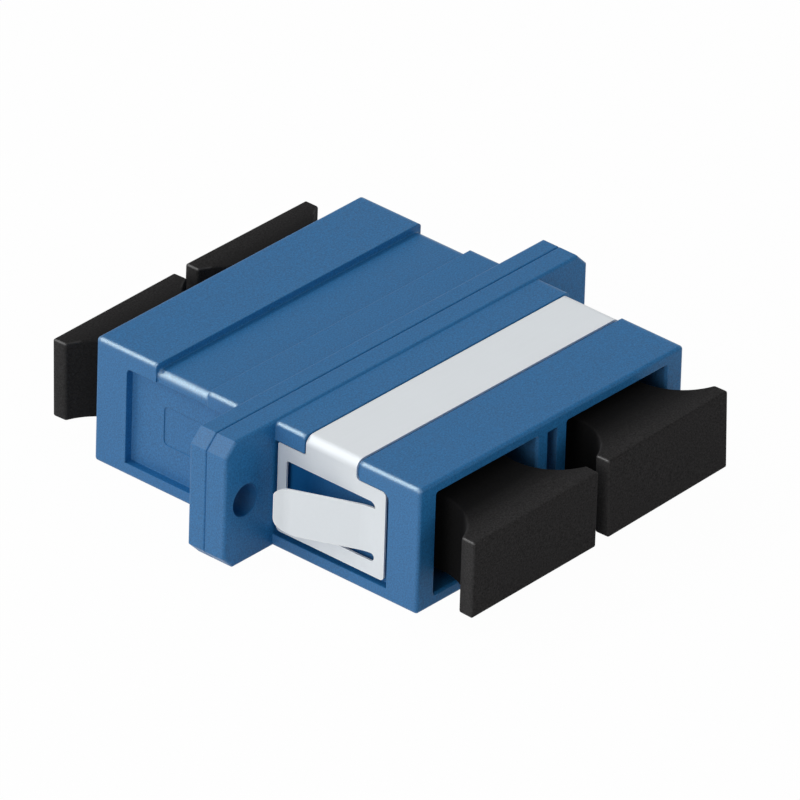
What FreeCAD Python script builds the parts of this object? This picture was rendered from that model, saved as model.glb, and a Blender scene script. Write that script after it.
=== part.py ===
import FreeCAD, Part
import math
import os

Vec = FreeCAD.Vector

# A flanged duplex fibre adapter: two ports side by side at each end, a steel snap
# clip on the front half and four dust plugs.
# Frame: X along the flange, Y along the fibres with the front mouth at -Y, Z up.
# The origin is on the base, midway along the flange, where the two halves meet.
# All lengths are in millimetres.

# Ports, each with a key groove in its floor
port_pitch = 12.7
port_width = 9.7
port_height = 7.5
port_corner_round = 0.1
port_lead_in = 0.15
partition_slot_width = 0.96
partition_slot_depth = 9.0
keyway_width = 2.6
keyway_depth = 0.5
keyway_length = 9.5

# Housing halves around the ports
outer_wall = 1.7
top_wall = 0.9
front_length = 14.15
rear_length = 13.95
top_edge_round = 0.25
base_edge_round = 0.25
mouth_edge_round = 0.24

# Flange, half of it on each housing, a little proud of the body's top
flange_ear = 4.75
flange_above_body = 0.12
front_flange_thickness = 1.7
rear_flange_thickness = 1.45
flange_corner = 0.95
flange_edge_round = 0.2
seam_chamfer = 0.08
screw_hole_diameter = 2.3
screw_from_ear_end = 1.95

# Steel clip: a strip over the top and a windowed plate down each side
clip_thickness = 0.16
clip_bend_inside = 0.5
clip_sink = 0.05
clip_flange_gap = 0.23
plate_length = 9.27
plate_above_base = 1.3
plate_below_top = 1.4
plate_corner_round = 0.3
strip_from_plate_start = 2.37
strip_width = 4.35
neck_fillet = 0.3
neck_fillet_by_flange = 0.15
window_frame_by_flange = 0.75
window_frame_by_mouth = 0.85
window_frame_above = 1.1
window_frame_below = 1.07
window_corner_round = 0.15

# Spring tongue, cut from each side plate and bent outwards
tongue_slit_above = 0.45
tongue_slit_below = 0.6
tongue_reach = 6.4
tongue_bend_radius = 3.0
tongue_angle = 22.5
lip_bend_radius = 1.5
lip_angle = 44.0
lip_length = 0.6
tongue_tip_top_round = 0.45
tongue_tip_bottom_round = 1.3

# Recess that a clip lies in, bare on the rear half
recess_gap_by_mouth = {"front": 0.3, "rear": 0.05}
recess_gap_by_flange = 0.075
recess_gap_below = 0.4
recess_side_gap = 0.02
pocket_depth = 0.6
bare_recess_side = 0.12
bare_recess_top = 0.5
bare_band_drop = 0.2
core_mark_depth = 0.06
core_mark_from_flange = 0.55
core_mark_length = 6.45
core_mark_height = 2.88
core_mark_round = 0.35

# Split alignment sleeve
sleeve_diameter = 3.2
sleeve_bore = 2.5
sleeve_length = 11.4
sleeve_slot = 0.4
sleeve_lead_in = 0.1

# Latch insert: plate, half of the barrel around the sleeve and two latch arms
insert_plate_step_side = 0.55
insert_plate_step_top = 0.25
insert_plate_thickness = 1.15
insert_play = 0.05
sleeve_radial_play = 0.05
sleeve_end_play = 0.1
barrel_wall = 0.5
barrel_lip_play = 0.2
barrel_lip_length = 1.1
barrel_lead_in = 0.2
arm_length = 8.2
arm_thickness = 0.6
arm_height = 2.8
arm_flex_gap = 0.25
hook_rise = 0.5
hook_length = 1.2
hook_flat = 0.4
hook_tip_thickness = 0.35
hook_edge_round = 0.1

# Dust plug. Depths are measured inwards from its end plate's outer face.
plug_plate_gap = 0.76
plug_plate_thickness = 1.13
plug_height = 5.75
plug_neck_width = 6.4
plug_neck_depth = 5.0
plug_guide_play = 0.35
plug_guide_length = 1.2
plug_nose_play = 0.4
plug_nose_length = 6.0
plug_hollow_side_play = 0.4
plug_hollow_top_play = 0.25
plug_hollow_spare = 4.6
plug_edge_round = 0.15
plug_nose_chamfer = 0.25
plug_seat_gap = 0.3

# How far each plug stands out from home in the rest pose, and how it hangs in its play:
# degrees about X, Y and Z of its own frame, about the end of the barrel it fits over
plug_pull = {"front_left": 0.86, "front_right": 0.86, "rear_left": 0.5, "rear_right": 0.5}
plug_tilt = {
    "front_left": (-1.6, 1.65, -0.73),
    "front_right": (1.06, 0.9, 0.82),
    "rear_left": (-1.6, 0.15, 0.76),
    "rear_right": (0.0, 0.64, 0.44),
}
half_turn = 180

# Cutting and joining allowances, and how close two lengths count as one
overcut = 1.0
overlap = 0.3
same_length = 1e-4
shortest_edge = 1e-6

# Housing sizes that follow
body_width = port_pitch + port_width + 2 * outer_wall
body_height = port_height + 2 * top_wall
flange_height = body_height + flange_above_body
flange_width = body_width + 2 * flange_ear
screw_spacing = flange_width - 2 * screw_from_ear_end
half_width = body_width / 2
half_flange = flange_width / 2
axis_height = body_height / 2
ports = {"left": -port_pitch / 2, "right": port_pitch / 2}
lengths = {"front": front_length, "rear": rear_length}
flange_thicknesses = {"front": front_flange_thickness, "rear": rear_flange_thickness}

# Clip places that follow, along the body as distances from the seam
plate_start = front_flange_thickness + clip_flange_gap
plate_end = plate_start + plate_length
plate_bottom = plate_above_base
plate_top = body_height - plate_below_top
strip_start = plate_start + strip_from_plate_start
strip_end = strip_start + strip_width
window_start = plate_start + window_frame_by_flange
window_end = plate_end - window_frame_by_mouth
window_bottom = plate_bottom + window_frame_below
window_top = plate_top - window_frame_above
tongue_bottom = window_bottom + tongue_slit_below
tongue_top = window_top - tongue_slit_above
clip_bend_outside = clip_bend_inside + clip_thickness
clip_recess_depth = clip_thickness + clip_sink

# Insert sizes that follow
insert_plate_width = port_width + 2 * insert_plate_step_side
insert_plate_height = port_height + 2 * insert_plate_step_top
barrel_bore = sleeve_diameter + 2 * sleeve_radial_play
barrel_bore_depth = sleeve_length / 2 + sleeve_end_play
barrel_diameter = barrel_bore + 2 * barrel_wall
barrel_lip_diameter = sleeve_bore + 2 * barrel_lip_play
barrel_length = barrel_bore_depth + barrel_lip_length
arm_outside = port_width / 2 - arm_flex_gap
arm_inside = arm_outside - arm_thickness
hook_inside = arm_inside - hook_rise

# Plug sizes that follow. Its waist is one arc from the end plate past the neck.
plug_plate_width = port_pitch - plug_plate_gap
plug_guide_width = port_width - 2 * plug_guide_play
plug_nose_width = 2 * (hook_inside - plug_nose_play)
plug_hollow_width = barrel_diameter + 2 * plug_hollow_side_play
plug_hollow_height = barrel_diameter + 2 * plug_hollow_top_play
plug_waist_rise = (plug_plate_width - plug_neck_width) / 2
plug_waist_run = plug_neck_depth - plug_plate_thickness
plug_waist_radius = (plug_waist_rise ** 2 + plug_waist_run ** 2) / (2 * plug_waist_rise)
plug_guide_rise = (plug_guide_width - plug_neck_width) / 2
plug_guide_run = math.sqrt(plug_waist_radius ** 2 - (plug_waist_radius - plug_guide_rise) ** 2)
plug_shoulder = plug_neck_depth + plug_guide_run + plug_guide_length
plug_total = plug_shoulder + plug_nose_length
plug_home = arm_length + plug_seat_gap + plug_shoulder
plug_hollow_depth = barrel_length - (plug_home - plug_total) + plug_hollow_spare


def block(x0, x1, y0, y1, z0, z1):
    """Box between two opposite corners."""
    return Part.makeBox(x1 - x0, y1 - y0, z1 - z0, Vec(x0, y0, z0))


def edges_where(shape, test):
    """Edges whose two ends and middle all pass the test."""
    found = []
    for edge in shape.Edges:
        middle = edge.valueAt((edge.FirstParameter + edge.LastParameter) / 2)
        points = [vertex.Point for vertex in edge.Vertexes] + [middle]
        if all(test(point) for point in points):
            found.append(edge)
    return found


def near(a, b):
    """True where two lengths are the same."""
    return abs(a - b) < same_length


def rounded_wire(corners, to_space):
    """Closed outline through (u, v, radius) corners, each rounded by its own radius."""
    flat = [(Vec(u, v, 0), radius) for u, v, radius in corners]
    spans = []
    for index, (corner, radius) in enumerate(flat):
        before = (flat[index - 1][0] - corner).normalize()
        after = (flat[(index + 1) % len(flat)][0] - corner).normalize()
        half_angle = before.getAngle(after) / 2
        trim = radius / math.tan(half_angle)
        middle = (before + after).normalize() * (radius / math.sin(half_angle) - radius)
        spans.append((corner + before * trim, corner + middle, corner + after * trim, radius))
    edges = []
    for index, (start, middle, end, radius) in enumerate(spans):
        if radius > 0:
            arc = Part.Arc(*[to_space(point.x, point.y) for point in (start, middle, end)])
            edges.append(arc.toShape())
        next_start = spans[(index + 1) % len(spans)][0]
        if end.distanceToPoint(next_start) > shortest_edge:
            line = Part.makeLine(to_space(end.x, end.y), to_space(next_start.x, next_start.y))
            edges.append(line)
    return Part.Wire(edges)


def prism(corners, to_space, direction):
    """Solid swept from a rounded outline."""
    return Part.Face(rounded_wire(corners, to_space)).extrude(direction)


def rectangle(u0, u1, v0, v1, radius):
    """Corners of a rectangle with one corner radius."""
    return [(u0, v0, radius), (u1, v0, radius), (u1, v1, radius), (u0, v1, radius)]


def side_profile(x):
    """Places an outline of (distance from seam, height) on the plane at x."""
    return lambda u, v: Vec(x, u, v)


def end_profile(y):
    """Places an outline of (across, height) on the plane at y."""
    return lambda u, v: Vec(u, y, v)


def top_profile(z):
    """Places an outline of (across, distance from seam) on the plane at z."""
    return lambda u, v: Vec(u, v, z)


def mirror_left(shape):
    """The same shape on the other side of the middle plane."""
    return shape.mirror(Vec(0, 0, 0), Vec(1, 0, 0))


def to_half(shape, half):
    """Turns a shape built towards +Y round to the front half, or leaves it at the rear."""
    if half == "front":
        return shape.mirror(Vec(0, 0, 0), Vec(0, 1, 0))
    return shape


def body_block(length):
    """Rectangular body of one half with its outer edges rounded."""
    body = block(-half_width, half_width, overlap, length, 0, body_height)
    long_top = edges_where(body, lambda p: near(abs(p.x), half_width) and near(p.z, body_height))
    body = body.makeFillet(top_edge_round, long_top)
    long_base = edges_where(body, lambda p: near(abs(p.x), half_width) and near(p.z, 0))
    body = body.makeFillet(base_edge_round, long_base)
    mouth = edges_where(body, lambda p: near(p.y, length))
    return body.makeFillet(mouth_edge_round, mouth)


def flange_block(thickness):
    """Half of the flange: corners chamfered, outer edges rounded, a fine seam groove."""
    flange = block(-half_flange, half_flange, 0, thickness, 0, flange_height)
    corners = edges_where(
        flange,
        lambda p: near(abs(p.x), half_flange) and (near(p.z, 0) or near(p.z, flange_height)),
    )
    flange = flange.makeChamfer(flange_corner, corners)
    outer = edges_where(flange, lambda p: near(p.y, thickness))
    flange = flange.makeFillet(flange_edge_round, outer)
    seam = edges_where(flange, lambda p: near(p.y, 0))
    return flange.makeChamfer(seam_chamfer, seam)


def screw_holes(thickness):
    """One round hole through each flange ear."""
    holes = []
    for side in (-1, 1):
        start = Vec(side * screw_spacing / 2, -overcut, axis_height)
        height = thickness + 2 * overcut
        holes.append(Part.makeCylinder(screw_hole_diameter / 2, height, start, Vec(0, 1, 0)))
    return holes


def port_outline(x, grow):
    """Outline of a port at its place across, grown all round."""
    return rectangle(
        x - port_width / 2 - grow,
        x + port_width / 2 + grow,
        axis_height - port_height / 2 - grow,
        axis_height + port_height / 2 + grow,
        port_corner_round + grow,
    )


def port_cut(x, length):
    """Port from the insert's seat to the mouth, with its lead-in and key groove."""
    depth = length - insert_plate_thickness + overcut
    start = end_profile(insert_plate_thickness - overlap)
    hollow = prism(port_outline(x, 0), start, Vec(0, depth + overlap, 0))
    inner = rounded_wire(port_outline(x, 0), end_profile(length - port_lead_in))
    outer = rounded_wire(port_outline(x, port_lead_in), end_profile(length))
    lead_in = Part.makeLoft([inner, outer], True, True)
    floor = axis_height - port_height / 2
    keyway = block(
        x - keyway_width / 2,
        x + keyway_width / 2,
        length - keyway_length,
        length + overcut,
        floor - keyway_depth,
        floor + overlap,
    )
    return [hollow, lead_in, keyway]


def insert_seat(x):
    """Pocket at the seam that holds the insert's plate."""
    half_x = insert_plate_width / 2 + insert_play
    half_z = insert_plate_height / 2 + insert_play
    return block(
        x - half_x,
        x + half_x,
        -overcut,
        insert_plate_thickness,
        axis_height - half_z,
        axis_height + half_z,
    )


def partition_slot(length):
    """Narrow blind slot between the two ports, open at the mouth."""
    return block(
        -partition_slot_width / 2,
        partition_slot_width / 2,
        length - partition_slot_depth,
        length + overcut,
        axis_height - port_height / 2,
        axis_height + port_height / 2,
    )


def lowered_band(start, end, side_depth, top_depth, edge_round):
    """Band cut across the top and down both sides, over a core with rounded edges."""
    band = block(
        -half_width - overcut,
        half_width + overcut,
        start,
        end,
        plate_top,
        body_height + overcut,
    )
    core_x = half_width - side_depth
    core_z = body_height - top_depth
    core = block(-core_x, core_x, start - overcut, end + overcut, 0, core_z)
    top_edges = edges_where(core, lambda p: near(abs(p.x), core_x) and near(p.z, core_z))
    return band.cut(core.makeFillet(edge_round, top_edges))


def side_recess(half):
    """Pocket on the right side that takes the clip's plate."""
    flange_thickness = flange_thicknesses[half]
    gap = recess_gap_by_mouth[half]
    end = plate_end + gap
    low = plate_bottom - recess_gap_below
    high = plate_top + recess_gap_by_flange
    corners = [
        (flange_thickness, low, 0),
        (end, low, 0),
        (end, high, plate_corner_round + gap),
        (flange_thickness, high, 0),
    ]
    depth = Vec(pocket_depth + overcut, 0, 0)
    return prism(corners, side_profile(half_width - pocket_depth), depth)


def core_mark():
    """Faint step left by the mould's side core on the bare pocket floor."""
    start = rear_flange_thickness + core_mark_from_flange
    low = axis_height - core_mark_height / 2
    corners = rectangle(start, start + core_mark_length, low, low + core_mark_height, core_mark_round)
    floor = side_profile(half_width - pocket_depth - core_mark_depth)
    mark = prism(corners, floor, Vec(pocket_depth + core_mark_depth, 0, 0))
    return [mark, mirror_left(mark)]


def housing(half):
    """One moulded half of the housing, with its half of the flange."""
    length = lengths[half]
    thickness = flange_thicknesses[half]
    side_depth = bare_recess_side
    top_depth = bare_recess_top
    start = strip_start - recess_gap_by_flange
    end = strip_end + recess_gap_by_mouth[half]
    cuts = screw_holes(thickness) + [partition_slot(length)]
    if half == "front":
        side_depth = clip_recess_depth + recess_side_gap
        top_depth = clip_recess_depth
    else:
        cuts += core_mark()
        cuts.append(lowered_band(thickness, start + overlap, 0, bare_band_drop, top_edge_round))
    recess = side_recess(half)
    cuts += [recess, mirror_left(recess)]
    cuts.append(lowered_band(start, end, side_depth, top_depth, clip_bend_inside))
    for x in ports.values():
        cuts += port_cut(x, length) + [insert_seat(x)]
    shape = body_block(length).fuse(flange_block(thickness)).removeSplitter()
    return to_half(shape.cut(cuts).removeSplitter(), half)


def strip_shell():
    """Clip's top strip with its two bends and short legs, as one bent band."""
    outer_x = half_width - clip_sink
    outer_z = body_height - clip_sink
    low = plate_top - overlap
    outer = block(-outer_x, outer_x, strip_start, strip_end, low, outer_z)
    top_edges = edges_where(outer, lambda p: near(abs(p.x), outer_x) and near(p.z, outer_z))
    outer = outer.makeFillet(clip_bend_outside, top_edges)
    inner_x = outer_x - clip_thickness
    inner_z = outer_z - clip_thickness
    inner = block(
        -inner_x, inner_x, strip_start - overcut, strip_end + overcut, low - overcut, inner_z
    )
    inner_edges = edges_where(inner, lambda p: near(abs(p.x), inner_x) and near(p.z, inner_z))
    return outer.cut(inner.makeFillet(clip_bend_inside, inner_edges))


def plate_sheet():
    """Flat side plate of the clip with its neck and window, on the right side."""
    inner_x = half_width - clip_sink - clip_thickness
    neck_top = body_height - clip_sink - clip_bend_outside
    corners = [
        (plate_start, plate_bottom, plate_corner_round),
        (plate_end, plate_bottom, plate_corner_round),
        (plate_end, plate_top, plate_corner_round),
        (strip_end, plate_top, neck_fillet),
        (strip_end, neck_top, 0),
        (strip_start, neck_top, 0),
        (strip_start, plate_top, neck_fillet_by_flange),
        (plate_start, plate_top, neck_fillet_by_flange),
    ]
    sheet = prism(corners, side_profile(inner_x), Vec(clip_thickness, 0, 0))
    window = [
        (window_start, window_bottom, window_corner_round),
        (window_end, window_bottom, tongue_slit_below / 2),
        (window_end, tongue_bottom, tongue_slit_below / 2),
        (window_end - tongue_slit_below, tongue_bottom, 0),
        (window_end - tongue_slit_above, tongue_top, 0),
        (window_end, tongue_top, 0),
        (window_end, window_top, tongue_slit_above),
        (window_start, window_top, window_corner_round),
    ]
    start = side_profile(inner_x - overcut)
    return sheet.cut(prism(window, start, Vec(clip_thickness + 2 * overcut, 0, 0)))


def tongue_path():
    """Points of the tongue's bent middle line: (distance from seam, outward, angle)."""
    first = math.radians(tongue_angle)
    last = math.radians(lip_angle)
    bend_run = tongue_bend_radius * math.sin(first)
    bend_rise = tongue_bend_radius * (1 - math.cos(first))
    lip_run = lip_bend_radius * (math.sin(last) - math.sin(first))
    lip_rise = lip_bend_radius * (math.cos(first) - math.cos(last))
    straight_run = tongue_reach - bend_run - lip_run - lip_length * math.cos(last)
    straight_rise = straight_run * math.tan(first)
    steps = [
        (bend_run, bend_rise, first),
        (straight_run, straight_rise, first),
        (lip_run, lip_rise, last),
        (lip_length * math.cos(last), lip_length * math.sin(last), last),
    ]
    path = [(window_end, 0, 0)]
    for run, rise, angle in steps:
        path.append((path[-1][0] - run, path[-1][1] + rise, angle))
    return path


def offset_point(point, offset, z):
    """Point of the tongue's face at an offset from its middle line."""
    along, outward, angle = point
    middle_x = half_width - clip_sink - clip_thickness / 2
    x = middle_x + outward + offset * math.cos(angle)
    return Vec(x, along + offset * math.sin(angle), z)


def bend_middle(before, after, radius, offset, z):
    """Point halfway round a bend on the tongue's face."""
    angle = (before[2] + after[2]) / 2
    along = before[0] - radius * (math.sin(angle) - math.sin(before[2]))
    outward = before[1] + radius * (math.cos(before[2]) - math.cos(angle))
    return offset_point((along, outward, angle), offset, z)


def tongue_face_line(offset):
    """Ends and edges of one face of the tongue, seen from above."""
    z = tongue_bottom
    root, bend_end, straight_end, lip_start, tip = tongue_path()
    points = [offset_point(p, offset, z) for p in (root, bend_end, straight_end, lip_start, tip)]
    first = bend_middle(root, bend_end, tongue_bend_radius, offset, z)
    second = bend_middle(straight_end, lip_start, lip_bend_radius, offset, z)
    base = Vec(points[0].x, points[0].y + overlap, z)
    edges = [
        Part.makeLine(base, points[0]),
        Part.Arc(points[0], first, points[1]).toShape(),
        Part.makeLine(points[1], points[2]),
        Part.Arc(points[2], second, points[3]).toShape(),
        Part.makeLine(points[3], points[4]),
    ]
    return [base, points[4]], edges


def tongue():
    """Spring tongue of the right side, bent twice, with rounded tip corners."""
    inner, inner_edges = tongue_face_line(-clip_thickness / 2)
    outer, outer_edges = tongue_face_line(clip_thickness / 2)
    edges = inner_edges + outer_edges
    edges += [Part.makeLine(inner[0], outer[0]), Part.makeLine(inner[-1], outer[-1])]
    face = Part.Face(Part.Wire(Part.__sortEdges__(edges)))
    bent = face.extrude(Vec(0, 0, tongue_top - tongue_bottom))
    tip_end = outer[-1].y
    outline = [
        (tip_end, tongue_bottom, tongue_tip_bottom_round),
        (window_end + overcut, tongue_bottom, 0),
        (window_end + overcut, tongue_top, 0),
        (tip_end, tongue_top, tongue_tip_top_round),
    ]
    trim = prism(outline, side_profile(half_width - overcut), Vec(flange_width, 0, 0))
    return bent.common(trim)


def mounting_clip():
    """Steel clip folded from one sheet: strip, two side plates and their tongues."""
    side = plate_sheet().fuse(tongue()).removeSplitter()
    clip = strip_shell().fuse([side, mirror_left(side)]).removeSplitter()
    return to_half(clip, "front")


def latch_arm():
    """Right latch arm with its inward hook, running out from the insert's plate."""
    start = insert_plate_thickness - overlap
    slope_start = arm_length - hook_length
    corners = [
        (arm_inside, start, 0),
        (arm_outside, start, 0),
        (arm_outside, arm_length, hook_edge_round),
        (arm_outside - hook_tip_thickness, arm_length, hook_edge_round),
        (hook_inside, slope_start + hook_flat, hook_edge_round),
        (hook_inside, slope_start, hook_edge_round),
        (arm_inside, slope_start - hook_rise, 0),
    ]
    return prism(corners, top_profile(-arm_height / 2), Vec(0, 0, arm_height))


def insert_barrel():
    """Half of the barrel that holds the sleeve, with a lip that keeps it in."""
    along = Vec(0, 1, 0)
    tube = Part.makeCylinder(barrel_diameter / 2, barrel_length, Vec(0, 0, 0), along)
    tip = edges_where(tube, lambda p: near(p.y, barrel_length))
    return tube.makeChamfer(barrel_lead_in, tip)


def insert_bores():
    """Sleeve bore, lip bore and the lip's lead-in cone."""
    along = Vec(0, 1, 0)
    lip = barrel_lip_diameter / 2
    sleeve_bore_cut = Part.makeCylinder(
        barrel_bore / 2, barrel_bore_depth + overcut, Vec(0, -overcut, 0), along
    )
    lip_cut = Part.makeCylinder(lip, barrel_length + overcut, Vec(0, 0, 0), along)
    cone = Part.makeCone(
        lip, lip + barrel_lead_in, barrel_lead_in, Vec(0, barrel_length - barrel_lead_in, 0), along
    )
    return [sleeve_bore_cut, lip_cut, cone]


def latch_insert(half, side):
    """One moulded insert: plate, barrel half and latch arms."""
    plate = block(
        -insert_plate_width / 2,
        insert_plate_width / 2,
        0,
        insert_plate_thickness,
        -insert_plate_height / 2,
        insert_plate_height / 2,
    )
    arm = latch_arm()
    shape = plate.fuse([insert_barrel(), arm, mirror_left(arm)])
    shape = shape.cut(insert_bores()).removeSplitter()
    shape.translate(Vec(ports[side], 0, axis_height))
    return to_half(shape, half)


def split_sleeve(side):
    """Ceramic sleeve with a slot along its whole length."""
    along = Vec(0, 1, 0)
    start = Vec(0, -sleeve_length / 2, 0)
    tube = Part.makeCylinder(sleeve_diameter / 2, sleeve_length, start, along)
    tube = tube.cut(Part.makeCylinder(sleeve_bore / 2, sleeve_length, start, along))
    ends = edges_where(tube, lambda p: near(abs(p.y), sleeve_length / 2))
    tube = tube.makeChamfer(sleeve_lead_in, ends)
    slot = block(
        -sleeve_slot / 2,
        sleeve_slot / 2,
        -sleeve_length / 2 - overcut,
        sleeve_length / 2 + overcut,
        0,
        sleeve_diameter,
    )
    shape = tube.cut(slot)
    shape.translate(Vec(ports[side], 0, axis_height))
    return shape


def plug_outline():
    """Plug seen from above: end plate, finger waist, guide and nose. Depth runs to -Y."""
    half_plate = plug_plate_width / 2
    half_guide = plug_guide_width / 2
    half_nose = plug_nose_width / 2
    half_neck = plug_neck_width / 2
    right = [
        Vec(half_plate, 0, 0),
        Vec(half_plate, -plug_plate_thickness, 0),
        Vec(half_guide, -plug_neck_depth - plug_guide_run, 0),
        Vec(half_guide, -plug_shoulder, 0),
        Vec(half_nose, -plug_shoulder, 0),
        Vec(half_nose, -plug_total, 0),
    ]
    neck = Vec(half_neck, -plug_neck_depth, 0)
    edges = [Part.makeLine(right[0], right[1]), Part.Arc(right[1], neck, right[2]).toShape()]
    edges += [Part.makeLine(a, b) for a, b in zip(right[2:], right[3:])]
    edges += [mirror_left(edge) for edge in edges]
    for point in (right[0], right[-1]):
        edges.append(Part.makeLine(point, Vec(-point.x, point.y, 0)))
    return Part.Wire(Part.__sortEdges__(edges))


def plug_hollow():
    """Blind hollow in the nose that passes over the barrel."""
    corners = rectangle(
        -plug_hollow_width / 2,
        plug_hollow_width / 2,
        -plug_hollow_height / 2,
        plug_hollow_height / 2,
        plug_hollow_height / 2,
    )
    return prism(corners, end_profile(-plug_total - overcut), Vec(0, plug_hollow_depth + overcut, 0))


def dust_plug(half, side):
    """Moulded dust plug pushed into one port."""
    shape = Part.Face(plug_outline()).extrude(Vec(0, 0, plug_height))
    shape.translate(Vec(0, 0, -plug_height / 2))
    top_edges = edges_where(
        shape, lambda p: near(abs(p.z), plug_height / 2) and p.y > -plug_shoulder - overlap
    )
    plate_edges = edges_where(
        shape, lambda p: near(abs(p.x), plug_plate_width / 2) and p.y > -plug_neck_depth
    )
    rounded = {edge.hashCode(): edge for edge in top_edges + plate_edges}
    shape = shape.makeFillet(plug_edge_round, list(rounded.values()))
    nose = edges_where(shape, lambda p: near(p.y, -plug_total))
    shape = shape.makeChamfer(plug_nose_chamfer, nose)
    shape = shape.cut(plug_hollow())
    place = half + "_" + side
    shape.translate(Vec(0, plug_home + plug_pull[place], 0))
    for axis, angle in zip((Vec(1, 0, 0), Vec(0, 1, 0), Vec(0, 0, 1)), plug_tilt[place]):
        shape.rotate(Vec(0, barrel_length, 0), axis, angle)
    if half == "front":
        shape.rotate(Vec(0, 0, 0), Vec(0, 0, 1), half_turn)
    shape.translate(Vec(ports[side], 0, axis_height))
    return shape


def all_parts():
    """Every separate piece, by name."""
    parts = {
        "front_housing": housing("front"),
        "rear_housing": housing("rear"),
        "mounting_clip": mounting_clip(),
    }
    for side in ports:
        parts["split_sleeve_" + side] = split_sleeve(side)
        for half in lengths:
            parts["latch_insert_" + half + "_" + side] = latch_insert(half, side)
            parts["dust_plug_" + half + "_" + side] = dust_plug(half, side)
    return parts


os.makedirs("parts", exist_ok=True)
for name, shape in all_parts().items():
    shape.Solids[0].exportStep("parts/" + name + ".step")
    print(name, "solids", len(shape.Solids), "valid", shape.isValid(), "mm3", round(shape.Volume, 3))
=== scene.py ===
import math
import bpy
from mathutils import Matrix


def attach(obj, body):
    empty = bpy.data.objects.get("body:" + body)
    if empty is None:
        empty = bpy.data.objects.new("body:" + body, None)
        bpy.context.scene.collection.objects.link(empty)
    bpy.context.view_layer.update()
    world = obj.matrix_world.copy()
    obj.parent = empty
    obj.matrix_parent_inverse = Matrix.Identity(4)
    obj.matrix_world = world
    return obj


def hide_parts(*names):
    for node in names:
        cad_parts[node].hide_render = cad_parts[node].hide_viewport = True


bl_info = {
    "name": "Duplex Fibre Adapter",
    "version": (1, 0, 0),
    "blender": (4, 5, 0),
    "location": "View3D > Sidebar > Fibre Adapter",
    "description": "Finishes a flanged duplex fibre adapter and sets up its studio",
    "category": "Object",
}

import bpy
from bpy.props import FloatProperty, FloatVectorProperty, IntProperty, PointerProperty
from mathutils import Matrix, Vector

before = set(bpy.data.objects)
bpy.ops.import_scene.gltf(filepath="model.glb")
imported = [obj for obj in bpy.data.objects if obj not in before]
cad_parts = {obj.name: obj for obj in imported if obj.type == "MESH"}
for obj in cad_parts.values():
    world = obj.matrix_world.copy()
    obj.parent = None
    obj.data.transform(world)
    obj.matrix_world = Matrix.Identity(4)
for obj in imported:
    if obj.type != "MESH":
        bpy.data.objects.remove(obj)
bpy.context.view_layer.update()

MM = 0.001

# Corners closer than this in the plugs' outline are one
WELD = 0.001 * MM


class Term:
    """A node's output in an expression. Each operator adds one Math node."""

    def __init__(self, graph, socket):
        self.graph = graph
        self.socket = socket

    def other(self, name):
        """Another output of the same node."""
        return Term(self.graph, find_socket(self.socket.node.outputs, name))

    def __add__(self, other):
        return self.graph.math("ADD", self, other)

    def __radd__(self, other):
        return self.graph.math("ADD", other, self)

    def __sub__(self, other):
        return self.graph.math("SUBTRACT", self, other)

    def __mul__(self, other):
        return self.graph.math("MULTIPLY", self, other)

    def __rmul__(self, other):
        return self.graph.math("MULTIPLY", other, self)

    def __neg__(self):
        return self.graph.math("MULTIPLY", self, -1.0)


def find_socket(sockets, key):
    """A socket by its place, its identifier or its name."""
    if isinstance(key, int):
        return sockets[key]
    for socket in sockets:
        if key in (socket.identifier, socket.name) and socket.enabled:
            return socket
    raise KeyError(key)


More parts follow.
